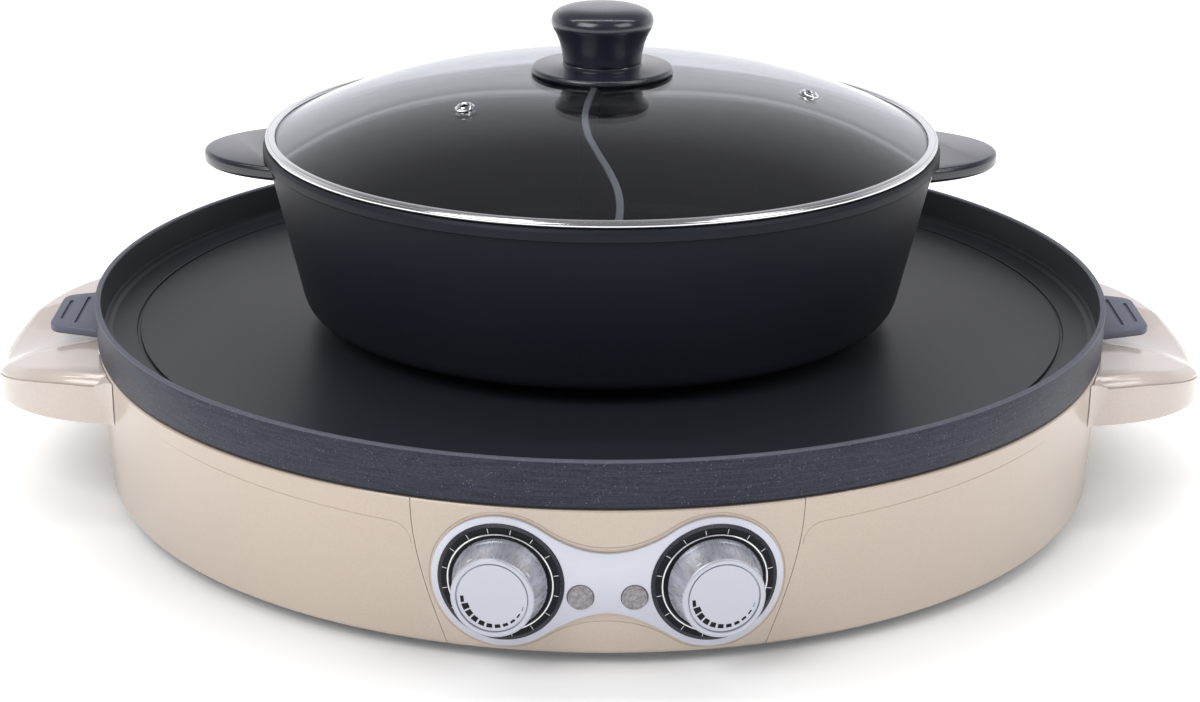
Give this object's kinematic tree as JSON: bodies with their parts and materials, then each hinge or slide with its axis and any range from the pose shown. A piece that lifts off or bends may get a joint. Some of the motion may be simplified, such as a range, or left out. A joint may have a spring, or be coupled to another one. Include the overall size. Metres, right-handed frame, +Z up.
{
  "type": "hot pot grill combo",
  "caption": "Round electric grill base with a lift-off pan, a divided pot with a domed glass lid standing on a heater in its middle, hollow side grips and front control knobs.",
  "frame": {"origin": "on the table, under the middle of the whole outline seen from above", "axes": "+Z up, -Y towards the user and the control panel, +X to the user's right"},
  "size_m": [0.53, 0.4558, 0.2059],
  "materials": {
    "champagne_paint": "satin champagne paint with a fine metallic flake",
    "pearl_plastic": "pearly moulded plastic",
    "cast_pan_coating": "dark grey non-stick coating on a casting",
    "dark_plastic": "dark slate moulded plastic",
    "pot_enamel": "satin navy-black coating on a casting",
    "black_phenolic": "glossy black heat-proof plastic",
    "smoked_glass": "tempered glass, slightly smoky",
    "polished_steel": "polished stainless steel",
    "satin_aluminium": "satin silver-blue",
    "silver_plastic": "silver-plated plastic, turned finish",
    "dial_black": "black band with light ticks",
    "lamp_lens": "grey translucent lens",
    "galvanised_steel": "plain pressed steel",
    "cast_aluminium": "machined casting",
    "element_sheath": "dark oxidised sheath",
    "black_plastic": "black moulded plastic",
    "foot_rubber": "black rubber"
  },
  "bodies": {
    "base": {"base_shell": "champagne_paint", "front_panel": "champagne_paint", "control_plate": "satin_aluminium", "hotpot_dial_ring": "dial_black", "grill_dial_ring": "dial_black", "hotpot_lamp_lens": "lamp_lens", "grill_lamp_lens": "lamp_lens", "hotpot_thermostat": "black_plastic", "grill_thermostat": "black_plastic", "heat_reflector": "galvanised_steel", "heater_sleeve": "galvanised_steel", "hotpot_heater_plate": "cast_aluminium", "grill_heater_element": "element_sheath", "element_saddle_1": "galvanised_steel", "element_saddle_2": "galvanised_steel", "element_saddle_3": "galvanised_steel", "bottom_cover": "galvanised_steel", "cover_screw_1": "polished_steel", "cover_screw_2": "polished_steel", "cover_screw_3": "polished_steel", "cover_screw_4": "polished_steel", "foot_1": "foot_rubber", "foot_2": "foot_rubber", "foot_3": "foot_rubber", "foot_4": "foot_rubber", "power_inlet": "black_plastic", "left_side_handle": "pearl_plastic", "right_side_handle": "pearl_plastic", "left_handle_screw_1": "polished_steel", "left_handle_screw_2": "polished_steel", "right_handle_screw_1": "polished_steel", "right_handle_screw_2": "polished_steel"},
    "grill_pan": {"grill_pan": "cast_pan_coating", "pan_handle_left": "dark_plastic", "pan_handle_right": "dark_plastic", "pan_handle_screw_left": "polished_steel", "pan_handle_screw_right": "polished_steel"},
    "pot": {"pot_body": "pot_enamel", "pot_handle_left": "black_phenolic", "pot_handle_right": "black_phenolic", "pot_handle_screw_left": "polished_steel", "pot_handle_screw_right": "polished_steel"},
    "lid": {"lid_glass": "smoked_glass", "lid_rim": "polished_steel", "lid_knob": "black_phenolic", "lid_knob_guard": "black_phenolic", "lid_knob_screw": "polished_steel", "lid_washer": "foot_rubber", "steam_vent_left": "polished_steel", "steam_vent_right": "polished_steel"},
    "hotpot_knob": {"hotpot_knob": "silver_plastic", "hotpot_knob_shaft": "galvanised_steel"},
    "grill_knob": {"grill_knob": "silver_plastic", "grill_knob_shaft": "galvanised_steel"}
  },
  "joints": [
    {"name": "pan_lift", "type": "slide", "parent": "base", "child": "grill_pan", "axis": [0, 0, 1], "range_m": [0, 0.12]},
    {"name": "pot_lift", "type": "slide", "parent": "grill_pan", "child": "pot", "axis": [0, 0, 1], "range_m": [0, 0.1]},
    {"name": "lid_lift", "type": "slide", "parent": "pot", "child": "lid", "axis": [0, 0, 1], "range_m": [0, 0.08]},
    {"name": "hotpot_knob_turn", "type": "hinge", "parent": "base", "child": "hotpot_knob", "pos_m": [-0.03953, -0.20898, 0.0345], "axis": [-0.1815, -0.9834, 0], "range_deg": [-270, 0]},
    {"name": "grill_knob_turn", "type": "hinge", "parent": "base", "child": "grill_knob", "pos_m": [0.03953, -0.20898, 0.0345], "axis": [0.1815, -0.9834, 0], "range_deg": [-270, 0]}
  ]
}
